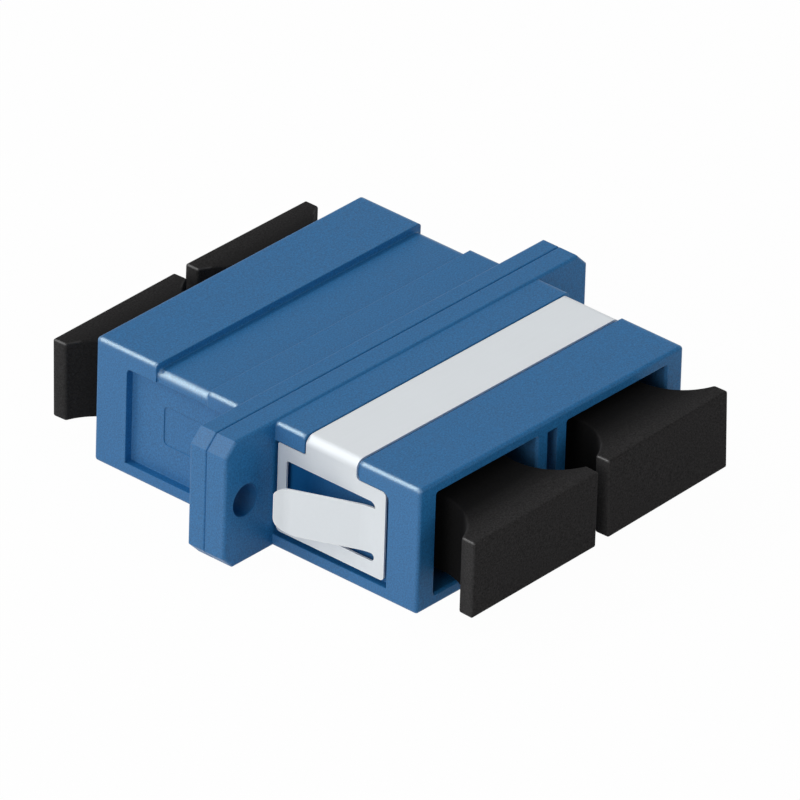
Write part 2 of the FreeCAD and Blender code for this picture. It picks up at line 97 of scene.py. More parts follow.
class Graph:
    """Adds nodes to one tree, of a material, the world or Geometry Nodes."""

    def __init__(self, tree):
        self.tree = tree
        tree.nodes.clear()

    def node(self, kind, settings=None, values=None, output=0):
        """Adds a node: its settings first, then a value or a link for each socket."""
        node = self.tree.nodes.new(kind)
        for name, value in (settings or {}).items():
            setattr(node, name, value)
        for key, value in (values or {}).items():
            self.feed(find_socket(node.inputs, key), value)
        if not node.outputs:
            return node
        return Term(self, find_socket(node.outputs, output))

    def feed(self, socket, value):
        """Gives a socket its value, its link or, for a list, all of its links."""
        for item in value if isinstance(value, list) else [value]:
            if isinstance(item, Term):
                self.tree.links.new(item.socket, socket)
            else:
                socket.default_value = item

    def math(self, operation, *terms):
        """A Math node on up to three numbers or links."""
        values = dict(enumerate(terms))
        return self.node("ShaderNodeMath", {"operation": operation}, values)

    def vector(self, operation, *terms):
        """A Vector Math node on vectors or links."""
        output = "Value" if operation == "DOT_PRODUCT" else "Vector"
        values = dict(enumerate(terms))
        return self.node("ShaderNodeVectorMath", {"operation": operation}, values, output)

    def mix(self, factor, first, second):
        """A colour that goes from the first to the second as the factor grows."""
        values = {"Factor_Float": factor, "A_Color": first, "B_Color": second}
        settings = {"data_type": "RGBA"}
        return self.node("ShaderNodeMix", settings, values, "Result_Color")

    def span(self, value, low, high, new_low=0.0, new_high=1.0):
        """Maps one range of numbers onto another, held at its ends."""
        values = {"Value": value, "From Min": low, "From Max": high}
        values.update({"To Min": new_low, "To Max": new_high})
        return self.node("ShaderNodeMapRange", None, values)

    def noise(self, place, scale, detail=2.0, roughness=0.5, distortion=0.0):
        """Noise with a number of cells to the metre."""
        values = {"Vector": place, "Scale": scale, "Detail": detail}
        values.update({"Roughness": roughness, "Distortion": distortion})
        return self.node("ShaderNodeTexNoise", None, values)

    def parts(self, vector):
        """The X part of a vector, whose node has the Y and Z parts too."""
        return self.node("ShaderNodeSeparateXYZ", None, {"Vector": vector})

    def object_place(self):
        """Object coordinates, in metres."""
        return self.node("ShaderNodeTexCoord", None, None, "Object")

    def flat_normal(self):
        """The surface's own normal."""
        return self.node("ShaderNodeNewGeometry", None, None, "Normal")

    def seen_plainly(self):
        """1 for the rays of the camera, of gloss and of glass."""
        camera_ray = self.node("ShaderNodeLightPath", None, None, "Is Camera Ray")
        seen = self.math("MAXIMUM", camera_ray, camera_ray.other("Is Transmission Ray"))
        return self.math("MAXIMUM", seen, camera_ray.other("Is Glossy Ray"))


def new_material(name):
    """An empty node material and its graph."""
    material = bpy.data.materials.new(name)
    material.use_nodes = True
    return material, Graph(material.node_tree)


def tint(colour, amount):
    """A colour made lighter or darker, with its alpha."""
    return tuple(min(1.0, channel * amount) for channel in colour[:3]) + (1.0,)


def finish_material(graph, shader):
    """Joins a shader to the material's surface."""
    graph.node("ShaderNodeOutputMaterial", None, {"Surface": shader})


def edge_mask(graph, radius):
    """Near 1 within a radius of an edge and 0 on open faces."""
    open_face, on_edge = 0.995, 0.86
    rounded = graph.node("ShaderNodeBevel", {"samples": 4}, {"Radius": radius})
    agreement = graph.vector("DOT_PRODUCT", rounded, graph.flat_normal())
    return graph.span(agreement, open_face, on_edge)


def painted_edge_highlight(graph, place, settings, plain):
    """Mixes a metal layer into the upper edges that run along the body, off the flange: it reflects
    the lamps, but its mask by facing and height and its tinted colour make it a painted highlight.
    """
    side_fade, height_fade = 0.1 * MM, 0.5 * MM
    full_at_45_degrees = 2.0
    rounded = graph.node("ShaderNodeBevel", {"samples": 8}, {"Radius": settings.shine_width})
    normal = graph.parts(rounded)
    spot = graph.parts(place)
    upward = graph.math("MAXIMUM", normal.other("Z"), 0.0)
    slant = graph.math("ABSOLUTE", normal) * upward * full_at_45_degrees
    along = graph.math("ABSOLUTE", spot.other("Y"))
    start, low = settings.shine_start, settings.shine_height
    clear = graph.span(along, start, start + side_fade)
    clear = clear * graph.span(spot.other("Z"), low, low + height_fade)
    highlight_shader = graph.node(
        "ShaderNodeBsdfPrincipled",
        None,
        {
            "Base Color": tint(settings.highlight_colour, 1.0),
            "Metallic": 1.0,
            "Roughness": settings.edge_roughness,
            "Normal": rounded,
        },
    )
    # Painted highlight: strongest where an edge faces half up and half sideways.
    factor = slant * clear * settings.highlight_strength
    return graph.node("ShaderNodeMixShader", None, {0: factor, 1: plain, 2: highlight_shader})


def painted_shade_mask(graph, place, settings):
    """Painted shade mask: near 1 in the screw holes, deep in the ports and where the clip's tongues
    fold in.
    """
    fade, slack = 0.1 * MM, 0.03 * MM
    leaning, upright = 0.8, 0.9
    spot = graph.parts(place)
    across = graph.math("ABSOLUTE", spot)
    forward = -spot.other("Y")
    level = spot.other("Z") - settings.hole_height
    sideways = graph.math("ABSOLUTE", graph.parts(graph.flat_normal()))
    pocket = graph.span(across, settings.pocket_outer, settings.pocket_outer - fade)
    pocket = pocket * graph.span(across, settings.pocket_inner, settings.pocket_inner + fade)
    pocket = pocket * graph.span(forward, settings.pocket_end, settings.pocket_start)
    pocket = pocket * graph.math("GREATER_THAN", forward, 0.0)
    pocket = pocket * graph.span(sideways, leaning, upright)
    aside = across - settings.hole_offset
    radius = graph.math("SQRT", aside * aside + level * level)
    hole = graph.math("LESS_THAN", radius, settings.hole_radius + slack) * settings.hole_shade
    from_axis = graph.math("ABSOLUTE", across - settings.port_offset)
    from_middle = graph.math("ABSOLUTE", level)
    port = graph.math("LESS_THAN", from_axis, settings.port_half_width)
    port = port * graph.math("LESS_THAN", from_middle, settings.port_half_height)
    depth = graph.math("ABSOLUTE", forward)
    port = port * graph.span(depth, settings.port_mouth, settings.port_deep)
    return graph.math("MAXIMUM", graph.math("MAXIMUM", pocket, hole), port)


def moulded_colour(graph, place, settings, speck, cloud):
    """Base colour: grain, clouding, sides paled as a painted sheen, painted shade near the middle
    seam and edges lightened by wear and painted highlight.
    """
    slope_gain = 2.0
    contrast = settings.grain_contrast
    shade = speck * contrast + cloud * settings.cloud_contrast
    shade = graph.span(shade, 0.0, contrast + settings.cloud_contrast)
    dark, light = tint(settings.colour, 1.0 - contrast), tint(settings.colour, 1.0 + contrast)
    body = graph.mix(shade, dark, light)
    # Painted sheen: faces that look sideways, more so where they also slope, are paled towards
    # white.
    facing = graph.parts(graph.flat_normal())
    sloped = graph.math("ABSOLUTE", facing.other("Z")) * slope_gain + 1.0
    side_sheen_share = graph.math("ABSOLUTE", facing) * sloped * settings.painted_side_sheen
    body = graph.mix(side_sheen_share, body, (1.0, 1.0, 1.0, 1.0))
    # Painted shade: near the middle seam, where the plugs sit in the ports, the colour is darkened
    # towards the shade colour.
    along = graph.math("ABSOLUTE", graph.parts(place).other("Y"))
    unshaded_share = graph.span(along, settings.shade_lift_start, settings.shade_lift_end, settings.plain_in_shade)
    body = graph.mix(unshaded_share, tint(settings.painted_shade_colour, 1.0), body)
    # Edges lightened: partly wear, partly painted highlight.
    edge_lightening = edge_mask(graph, settings.lightened_edge_width) * settings.edge_wear_and_highlight
    return graph.mix(edge_lightening, body, tint(settings.colour, settings.edge_lift))


def moulded_plastic(name, settings, painted_shade=None):
    """Moulded plastic: spark-eroded grain, faint clouding, edges lightened by wear and painted
    highlight, a painted sheen on the sides, a painted highlight on the upper long edges and, with a
    mask, painted shade in pockets, holes and ports.
    """
    coarse_share, fine_share, fine_ratio = 0.6, 0.4, 2.3
    roughness_by_speck, roughness_by_cloud = 0.10, 0.08
    relief_by_speck, relief_by_cloud = 0.7, 0.3
    material, graph = new_material(name)
    place = graph.object_place()
    cloud = graph.noise(place, settings.cloud_scale, 3.0, 0.55, 0.4)
    grain = graph.noise(place, settings.grain_scale, 2.0, 0.6)
    fine = graph.noise(place, settings.grain_scale * fine_ratio, 1.0, 0.5)
    speck = graph.span(grain * coarse_share + fine * fine_share, 0.32, 0.68)
    roughness = settings.roughness + (speck - 0.5) * roughness_by_speck
    soft = graph.node("ShaderNodeBevel", {"samples": 8}, {"Radius": settings.soft_edge})
    bump = graph.node(
        "ShaderNodeBump",
        None,
        {
            "Strength": settings.grain_strength,
            "Distance": settings.grain_depth,
            "Height": speck * relief_by_speck + cloud * relief_by_cloud,
            "Normal": soft,
        },
    )
    shader = graph.node(
        "ShaderNodeBsdfPrincipled",
        None,
        {
            "Base Color": moulded_colour(graph, place, settings, speck, cloud),
            "Roughness": roughness + (cloud - 0.5) * roughness_by_cloud,
            "Specular IOR Level": settings.gloss,
            "Normal": bump,
        },
    )
    # Painted highlight on the upper long edges.
    shader = painted_edge_highlight(graph, place, settings, shader)
    # Painted shade: a dull, flat dark shader is mixed over the pockets, screw holes and port walls.
    if painted_shade:
        painted_shade_colour = tint(settings.painted_shade_colour, 1.0)
        values = {"Base Color": painted_shade_colour, "Roughness": 1.0, "Specular IOR Level": 0.0}
        deep = graph.node("ShaderNodeBsdfPrincipled", None, values)
        factor = painted_shade(graph, place, settings) * settings.painted_shade
        shader = graph.node("ShaderNodeMixShader", None, {0: factor, 1: shader, 2: deep})
    finish_material(graph, shader)
    return material


def rolled_steel(name, settings):
    """Bright rolled spring steel: fine rolling lines along the strip and cut edges brightened by
    burnish and painted highlight.
    """
    darkest, lightest, edge_brightening = 0.985, 1.015, 1.28
    line_share, patch_share = 0.6, 0.4
    roughness_by_line, roughness_by_patch = 0.12, 0.06
    material, graph = new_material(name)
    place = graph.object_place()
    stretch = (settings.line_stretch, 1.0, 1.0)
    along = graph.node("ShaderNodeMapping", None, {"Vector": place, "Scale": stretch})
    lines = graph.noise(along, settings.line_scale, 3.0, 0.6)
    patch = graph.noise(place, settings.patch_scale, 2.0, 0.5)
    # Cut edges brightened: partly burnish, partly painted highlight.
    edge_lightening = edge_mask(graph, settings.lightened_edge_width)
    shade = graph.span(lines * line_share + patch * patch_share, 0.3, 0.7)
    body = graph.mix(shade, tint(settings.colour, darkest), tint(settings.colour, lightest))
    colour = graph.mix(edge_lightening, body, tint(settings.colour, edge_brightening))
    roughness = settings.roughness + (lines - 0.5) * roughness_by_line
    roughness = roughness + (patch - 0.5) * roughness_by_patch
    bump = graph.node(
        "ShaderNodeBump",
        None,
        {"Strength": settings.line_strength, "Distance": settings.line_depth, "Height": lines},
    )
    shader = graph.node(
        "ShaderNodeBsdfPrincipled",
        None,
        {
            "Base Color": colour,
            "Metallic": settings.metal,
            "Roughness": roughness,
            "Normal": bump,
        },
    )
    finish_material(graph, shader)
    return material


def ground_ceramic(name, settings):
    """White ceramic with faint grinding rings along the sleeve."""
    darkest, lightest = 0.94, 1.03
    roughness_by_ring, ring_depth = 0.1, 0.002 * MM
    material, graph = new_material(name)
    place = graph.object_place()
    squeeze = (1.0, settings.ring_squeeze, 1.0)
    along = graph.node("ShaderNodeMapping", None, {"Vector": place, "Scale": squeeze})
    rings = graph.noise(along, settings.ring_scale, 2.0, 0.5)
    shade = graph.span(rings, 0.3, 0.7)
    body = graph.mix(shade, tint(settings.colour, darkest), tint(settings.colour, lightest))
    roughness = settings.roughness + (rings - 0.5) * roughness_by_ring
    bump = graph.node(
        "ShaderNodeBump", None, {"Strength": 0.1, "Distance": ring_depth, "Height": rings}
    )
    shader = graph.node(
        "ShaderNodeBsdfPrincipled",
        None,
        {"Base Color": body, "Roughness": roughness, "Specular IOR Level": 0.7, "Normal": bump},
    )
    finish_material(graph, shader)
    return material


def dress(names, material):
    """Gives CAD nodes their finish."""
    for name in names:
        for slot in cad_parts[name].material_slots:
            slot.material = material


def nodes_starting(prefix):
    """Names of the CAD nodes of one kind."""
    found = sorted(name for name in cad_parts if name.startswith(prefix))
    if not found:
        raise RuntimeError("the frame has no node that starts with " + prefix)
    return found


def length(name, default, description):
    """A setting that is a length, in metres."""
    return FloatProperty(
        name=name,
        description=description,
        default=default,
        subtype="DISTANCE",
        unit="LENGTH",
        precision=6,
    )


def share(name, default, description):
    """A setting between 0 and 1."""
    return FloatProperty(
        name=name, description=description, default=default, min=0.0, max=1.0, subtype="FACTOR"
    )


def number(name, default, description):
    """A setting without a unit, from 0 up."""
    return FloatProperty(name=name, description=description, default=default, min=0.0)


def power(name, default, description):
    """A lamp's power, in watts."""
    return FloatProperty(name=name, description=description, default=default, min=0.0, unit="POWER")


def angle(name, degrees, description):
    """An angle, written in degrees here."""
    return FloatProperty(
        name=name,
        description=description,
        default=math.radians(degrees),
        subtype="ANGLE",
        unit="ROTATION",
    )


def lean(name, degrees, description):
    """A turn about X, Y and Z, written in degrees here."""
    return FloatVectorProperty(
        name=name,
        description=description,
        default=[math.radians(value) for value in degrees],
        subtype="EULER",
        unit="ROTATION",
    )


def rgb(name, default, description):
    """A colour, in linear light."""
    return FloatVectorProperty(name=name, description=description, default=default, subtype="COLOR")


class BlueFinish(bpy.types.PropertyGroup):
    """Colour and grain of the blue housing halves."""

    colour: rgb("Colour", (0.020, 0.155, 0.375), "Colour of the moulded plastic")
    roughness: share("Roughness", 0.45, "Roughness of the moulded surface")
    gloss: share("Gloss", 0.2, "Strength of the plain reflection")
    # Painted highlight on the upper long edges: strength, colour, roughness and reach.
    highlight_strength: share("Highlight Strength", 0.138, "Strength of the painted highlight on the rounded edges")
    highlight_colour: rgb("Highlight Colour", (0.84, 1.0, 1.0), "Colour of the painted highlight on the edges")
    edge_roughness: share("Edge Roughness", 0.27, "Roughness of the painted highlight on the rounded edges")
    shine_width: length("Shine Width", 0.4 * MM, "How far the painted highlight reaches from an edge")
    shine_start: length(
        "Shine Start", 1.75 * MM, "Distance from the middle seam at which the highlighted edges start"
    )
    shine_height: length(
        "Shine Height", 6.5 * MM, "Height above the base at which the highlighted edges start"
    )
    soft_edge: length("Soft Edge", 0.12 * MM, "Radius over which the shading turns an edge")
    # Painted sheen on the side faces.
    painted_side_sheen: share(
        "Painted Side Sheen", 0.035, "How much paler the side faces are painted, as a sheen"
    )
    # Painted shade: colour that the pockets, screw holes and port walls are darkened to.
    painted_shade_colour: rgb(
        "Painted Shade Colour", (0.004, 0.085, 0.25), "Colour of the painted shade"
    )
    # Painted shade near the middle seam; with these values the housings stay plain.
    shade_lift_start: length(
        "Shade Lift Start",
        1.0 * MM,
        "Distance from the middle seam at which the painted shade starts to lift",
    )
    shade_lift_end: length(
        "Shade Lift End",
        2.0 * MM,
        "Distance from the middle seam beyond which the painted shade has fully lifted",
    )
    plain_in_shade: share(
        "Plain In Shade", 1.0, "Share of the plain colour that is left under the painted shade"
    )
    # Where and how strongly painted shade darkens the pockets, screw holes and ports.
    painted_shade: share(
        "Painted Shade", 0.9, "How far the pockets, screw holes and ports take the painted shade"
    )
    pocket_outer: length(
        "Pocket Outer", 12.7 * MM, "Distance from the middle that the pockets' floors lie within"
    )
    pocket_inner: length(
        "Pocket Inner", 11.8 * MM, "Distance from the middle that the pockets' floors lie beyond"
    )
    pocket_start: length(
        "Pocket Start",
        4.0 * MM,
        "Distance from the seam of the pockets' darkest part, at the tongues' tips",
    )
    pocket_end: length(
        "Pocket End",
        10.5 * MM,
        "Distance from the seam at which the pockets are as pale as the sides",
    )
    hole_offset: length("Hole Offset", 15.7 * MM, "Distance of a screw hole from the middle")
    hole_height: length("Hole Height", 4.65 * MM, "Height of a screw hole above the base")
    hole_shade: share(
        "Hole Shade", 0.7, "How far the screw holes take the painted shade, beside the pockets"
    )
    hole_radius: length("Hole Radius", 1.15 * MM, "Radius of a screw hole")
    port_offset: length("Port Offset", 6.35 * MM, "Distance of a port's axis from the middle")
    port_half_width: length(
        "Port Half Width", 4.87 * MM, "Half of a port's width, with its walls' faces"
    )
    port_half_height: length(
        "Port Half Height", 3.77 * MM, "Half of a port's height, with its walls' faces"
    )
    port_mouth: length(
        "Port Mouth",
        13.9 * MM,
        "Distance from the seam at which a port's walls start to take the painted shade",
    )
    port_deep: length(
        "Port Deep",
        11.0 * MM,
        "Distance from the seam at which a port's walls take the full painted shade",
    )
    edge_lift: number("Edge Lift", 1.6, "How many times lighter a worn and highlighted edge is")
    grain_scale: number("Grain Scale", 9000.0, "Grains of the eroded texture to the metre")
    grain_contrast: share("Grain Contrast", 0.4, "How much lighter and darker the grain is")
    grain_strength: share("Grain Strength", 0.3, "Strength of the grain's relief")
    grain_depth: length("Grain Depth", 0.012 * MM, "Depth of the grain's relief")
    cloud_scale: number("Cloud Scale", 240.0, "Flow clouds to the metre")
    cloud_contrast: share(
        "Cloud Contrast", 0.05, "How strong the flow clouding is beside the grain"
    )
    # Edge lightening: partly wear, partly painted highlight.
    edge_wear_and_highlight: share("Edge Wear And Highlight", 0.25, "How much lighter the edges are, from wear and painted highlight")
    lightened_edge_width: length("Lightened Edge Width", 0.08 * MM, "How far the edge lightening reaches from an edge")


class BlackFinish(bpy.types.PropertyGroup):
    """Colour and grain of the black dust plugs."""

    colour: rgb("Colour", (0.0275, 0.0265, 0.0268), "Colour of the plugs' plastic")
    roughness: share("Roughness", 0.72, "Roughness of the moulded surface")
    gloss: share("Gloss", 0.03, "Strength of the plain reflection")
    # Painted highlight on the upper long edges: strength, colour, roughness and reach.
    highlight_strength: share("Highlight Strength", 0.043, "Strength of the painted highlight on the rounded edges")
    highlight_colour: rgb("Highlight Colour", (0.84, 0.84, 0.84), "Colour of the painted highlight on the edges")
    edge_roughness: share("Edge Roughness", 0.3, "Roughness of the painted highlight on the rounded edges")
    shine_width: length("Shine Width", 0.12 * MM, "How far the painted highlight reaches from an edge")
    shine_start: length(
        "Shine Start", 16.6 * MM, "Distance from the middle seam at which the highlighted edges start"
    )
    shine_height: length(
        "Shine Height", 6.5 * MM, "Height above the base at which the highlighted edges start"
    )
    soft_edge: length("Soft Edge", 0.12 * MM, "Radius over which the shading turns an edge")
    # Painted sheen on the side faces.
    painted_side_sheen: share(
        "Painted Side Sheen", 0.014, "How much paler the side faces are painted, as a sheen"
    )
    # Painted shade colour that the plugs darken to inside the ports.
    painted_shade_colour: rgb(
        "Painted Shade Colour",
        (0.006, 0.006, 0.006),
        "Colour of the painted shade",
    )
    # Painted shade on the plugs, darkest near the middle seam inside the ports.
    shade_lift_start: length(
        "Shade Lift Start",
        15.5 * MM,
        "Distance from the middle seam at which the painted shade starts to lift",
    )
    shade_lift_end: length(
        "Shade Lift End",
        17.9 * MM,
        "Distance from the middle seam beyond which the painted shade has fully lifted",
    )
    plain_in_shade: share(
        "Plain In Shade", 0.2, "Share of the plain colour that is left under the painted shade"
    )
    edge_lift: number("Edge Lift", 4.0, "How many times lighter a worn and highlighted edge is")
    grain_scale: number("Grain Scale", 8000.0, "Grains of the eroded texture to the metre")
    grain_contrast: share("Grain Contrast", 0.7, "How much lighter and darker the grain is")
    grain_strength: share("Grain Strength", 0.35, "Strength of the grain's relief")
    grain_depth: length("Grain Depth", 0.012 * MM, "Depth of the grain's relief")
    cloud_scale: number("Cloud Scale", 300.0, "Flow clouds to the metre")
    cloud_contrast: share(
        "Cloud Contrast", 0.1, "How strong the flow clouding is beside the grain"
    )
    # Edge lightening: partly wear, partly painted highlight.
    edge_wear_and_highlight: share("Edge Wear And Highlight", 0.6, "How much lighter the edges are, from wear and painted highlight")
    lightened_edge_width: length("Lightened Edge Width", 0.08 * MM, "How far the edge lightening reaches from an edge")


class SteelFinish(bpy.types.PropertyGroup):
    """Colour and rolling lines of the spring steel clip."""

    colour: rgb("Colour", (0.772, 0.81, 0.84), "Colour of the bright steel")
    roughness: share("Roughness", 0.55, "Roughness of the rolled surface")
    metal: share(
        "Metal", 0.35, "How far the surface reflects as bare metal rather than a satin bloom"
    )
    line_scale: number("Line Scale", 6000.0, "Rolling lines to the metre across the strip")
    line_stretch: number(
        "Line Stretch", 0.05, "Scale of the lines along the strip, as a share of that across it"
    )
    line_strength: share("Line Strength", 0.06, "Strength of the rolling lines' relief")
    line_depth: length("Line Depth", 0.003 * MM, "Depth of the rolling lines")
    patch_scale: number("Patch Scale", 300.0, "Slow changes of the finish to the metre")
    # Band of cut edges brightened by burnish and painted highlight.
    lightened_edge_width: length("Edge Width", 0.08 * MM, "Width of the band along cut edges brightened by burnish and painted highlight")


class CeramicFinish(bpy.types.PropertyGroup):
    """Colour and grinding rings of the split sleeves."""

    colour: rgb("Colour", (0.86, 0.85, 0.8), "Colour of the ceramic")
    roughness: share("Roughness", 0.18, "Roughness of the ground surface")
    ring_scale: number("Ring Scale", 900.0, "Grinding marks to the metre round the sleeve")
    ring_squeeze: number(
        "Ring Squeeze", 12.0, "How many times closer the marks lie along the sleeve"
    )


class PlugShape(bpy.types.PropertyGroup):
    """Sizes of the dust plugs and how each one hangs. Depths run in from the end plate's face."""

    plate_width: length("Plate Width", 11.94 * MM, "Width of the end plate")
    plate_thickness: length(
        "Plate Thickness", 1.13 * MM, "Thickness of the end plate at its sides"
    )
    height: length("Height", 5.75 * MM, "Height of the plug")
    neck_width: length("Neck Width", 6.4 * MM, "Width at the middle of the finger waist")
    neck_depth: length("Neck Depth", 5.0 * MM, "Depth of the middle of the finger waist")
    guide_width: length("Guide Width", 9.0 * MM, "Width of the part that fits the port")
    guide_length: length("Guide Length", 1.2 * MM, "Length of the part that fits the port")
    nose_width: length("Nose Width", 6.2 * MM, "Width of the nose between the latch hooks")
    nose_length: length("Nose Length", 6.0 * MM, "Length of the nose")
    hollow_width: length("Hollow Width", 5.1 * MM, "Width of the hollow in the nose")
    hollow_height: length("Hollow Height", 4.8 * MM, "Height of the hollow in the nose")
    hollow_depth: length("Hollow Depth", 9.0 * MM, "Depth of the hollow in the nose")
    edge_round: length("Edge Round", 0.15 * MM, "Rounding of the plug's edges")
    seat: length(
        "Seat", 8.5 * MM, "Distance of the shoulder from the middle seam when the plug is home"
    )
    hang_centre: length(
        "Hang Centre",
        6.9 * MM,
        "Distance from the middle seam of the point that a plug tilts about",
    )
    front_pull: length("Front Pull", 0.86 * MM, "How far the front plugs stand out from home")
    rear_pull: length("Rear Pull", 0.5 * MM, "How far the rear plugs stand out from home")
    front_left_tilt: lean(
        "Front Left Tilt", (-1.6, 1.65, -0.73), "How the front left plug hangs in its play"
    )
    front_right_tilt: lean(
        "Front Right Tilt", (1.06, 0.9, 0.82), "How the front right plug hangs in its play"
    )
    rear_left_tilt: lean(
        "Rear Left Tilt", (-1.6, 0.15, 0.76), "How the rear left plug hangs in its play"
    )
    rear_right_tilt: lean(
        "Rear Right Tilt", (0.0, 0.64, 0.44), "How the rear right plug hangs in its play"
    )
    port_offset: length(
        "Port Offset", 6.35 * MM, "Distance of a port's axis from the middle of the adapter"
    )
    port_height: length("Port Height", 4.65 * MM, "Height of the port's axis above the base")
    arc_steps: IntProperty(
        name="Arc Steps",
        description="Steps along the finger waist",
        default=32,
        min=8,
        max=128,
    )


class StageLook(bpy.types.PropertyGroup):
    """Camera, lamps and floor of the studio."""

    azimuth: angle("Azimuth", -49.245, "Turn of the camera about the upright axis")
    elevation: angle("Elevation", 30.471, "Height of the camera above the horizon")
    roll: angle("Roll", 1.781, "Turn of the camera about its own line of sight")
    target: FloatVectorProperty(
        name="Target",
        description="Point at the middle of the picture",
        default=(2.1037 * MM, 0.7321 * MM, 3.6208 * MM),
        subtype="TRANSLATION",
        unit="LENGTH",
        precision=6,
    )
    distance: length("Distance", 1.13739, "Distance of the camera from its target")
    lens: FloatProperty(
        name="Lens",
        description="Focal length on a 36 mm sensor",
        default=785.06,
        subtype="DISTANCE_CAMERA",
        unit="CAMERA",
    )
    ambient: number("Ambient", 0.25, "Strength of the light from all round")
    key_power: power("Key Power", 0.95, "Power of each strip lamp in the arch behind")
    top_power: power("Top Power", 0.44, "Power of the soft lamp above and behind")
    side_power: power("Side Power", 0.355, "Power of the wide lamp at the left")
    front_power: power("Front Power", 0.25, "Power of the soft lamp in front")
    floor_size: length("Floor Size", 1.2, "Width of the square floor")
    floor_glow: share(
        "Floor Glow",
        0.98,
        "How much of the floor's look is plain white rather than lit by the lamps",
    )


def camera_turn(look):
    """The camera's rotation and the direction back from its target."""
    azimuth, elevation = look.azimuth, look.elevation
    right = Vector((math.cos(azimuth), math.sin(azimuth), 0.0))
    back = Vector(
        (
            math.sin(azimuth) * math.cos(elevation),
            -math.cos(azimuth) * math.cos(elevation),
            math.sin(elevation),
        )
    )
    up = back.cross(right)
    turned_right = right * math.cos(look.roll) + up * math.sin(look.roll)
    turned_up = up * math.cos(look.roll) - right * math.sin(look.roll)
    return Matrix((turned_right, turned_up, back)).transposed(), back


def add_camera(scene, look):
    """The camera at the picture's viewing angle."""
    data = bpy.data.cameras.new("picture_camera")
    data.sensor_width = 36.0
    data.lens = look.lens
    data.clip_end = 10.0
    camera = bpy.data.objects.new("picture_camera", data)
    scene.collection.objects.link(camera)
    turn, back = camera_turn(look)
    place = Vector(look.target) + back * look.distance
    camera.matrix_world = Matrix.Translation(place) @ turn.to_4x4()
    scene.camera = camera


# The arch of strip lamps behind the adapter: how far round the arch each lamp stands, in
# degrees, the parts of its direction back and out from the middle, and its size, in metres
KEY_PLACES = {"left": 156.0, "middle": 120.0, "right": 84.0}
KEY_BACK = 0.563
KEY_OUT = 0.826
KEY_DISTANCE = 1.0
KEY_SIZE = (0.54, 0.07)

# Direction, distance and size of each soft lamp, in metres
SOFT_LAMPS = {
    "top": ((-0.4, 0.5, 0.77), 0.5, (0.4, 0.4)),
    "side": ((-0.93, -0.16, 0.34), 0.35, (0.22, 0.22)),
    "front": ((0.25, -0.95, 0.2), 0.4, (0.25, 0.15)),
}


def add_lamp(scene, name, direction, distance, size, watts, along=(0.0, 0.0, 1.0)):
    """A rectangular area lamp, its length turned along one way, that points at the adapter."""
    data = bpy.data.lights.new(name, "AREA")
    data.shape = "RECTANGLE"
    data.size, data.size_y = size
    data.energy = watts
    lamp = bpy.data.objects.new(name, data)
    scene.collection.objects.link(lamp)
    away = Vector(direction).normalized()
    lamp.location = away * distance
    lengthways = (Vector(along) - away * away.dot(along)).normalized()
    turn = Matrix((lengthways, away.cross(lengthways), away)).transposed()
    lamp.matrix_world = Matrix.Translation(lamp.location) @ turn.to_4x4()


def light_world(scene, look):
    """An even light all round that the camera, gloss and glass see as white."""
    world = bpy.data.worlds.new("studio_world")
    scene.world = world
    world.use_nodes = True
    graph = Graph(world.node_tree)
    strength = look.ambient + (1.0 - look.ambient) * graph.seen_plainly()
    background = graph.node(
        "ShaderNodeBackground", None, {"Color": (1.0, 1.0, 1.0, 1.0), "Strength": strength}
    )
    graph.node("ShaderNodeOutputWorld", None, {"Surface": background})


def white_floor(look):
    """Floor finish: lit by the lamps, but nearly plain white to the camera, gloss and glass."""
    material, graph = new_material("studio_floor")
    lit = graph.node("ShaderNodeBsdfDiffuse", None, {"Color": (0.86, 0.86, 0.86, 1.0)})
    plain = graph.node(
        "ShaderNodeEmission", None, {"Color": (1.0, 1.0, 1.0, 1.0), "Strength": 1.0}
    )
    factor = graph.seen_plainly() * look.floor_glow
    shader = graph.node("ShaderNodeMixShader", None, {0: factor, 1: lit, 2: plain})
    finish_material(graph, shader)
    return material


def add_floor(scene, look):
    """A plain pale floor just under the adapter."""
    half = look.floor_size / 2
    drop = -0.02 * MM
    mesh = bpy.data.meshes.new("studio_floor")
    corners = [(-half, -half, drop), (half, -half, drop), (half, half, drop), (-half, half, drop)]
    mesh.from_pydata(corners, [], [(0, 1, 2, 3)])
    mesh.materials.append(white_floor(look))
    floor = bpy.data.objects.new("studio_floor", mesh)
    scene.collection.objects.link(floor)


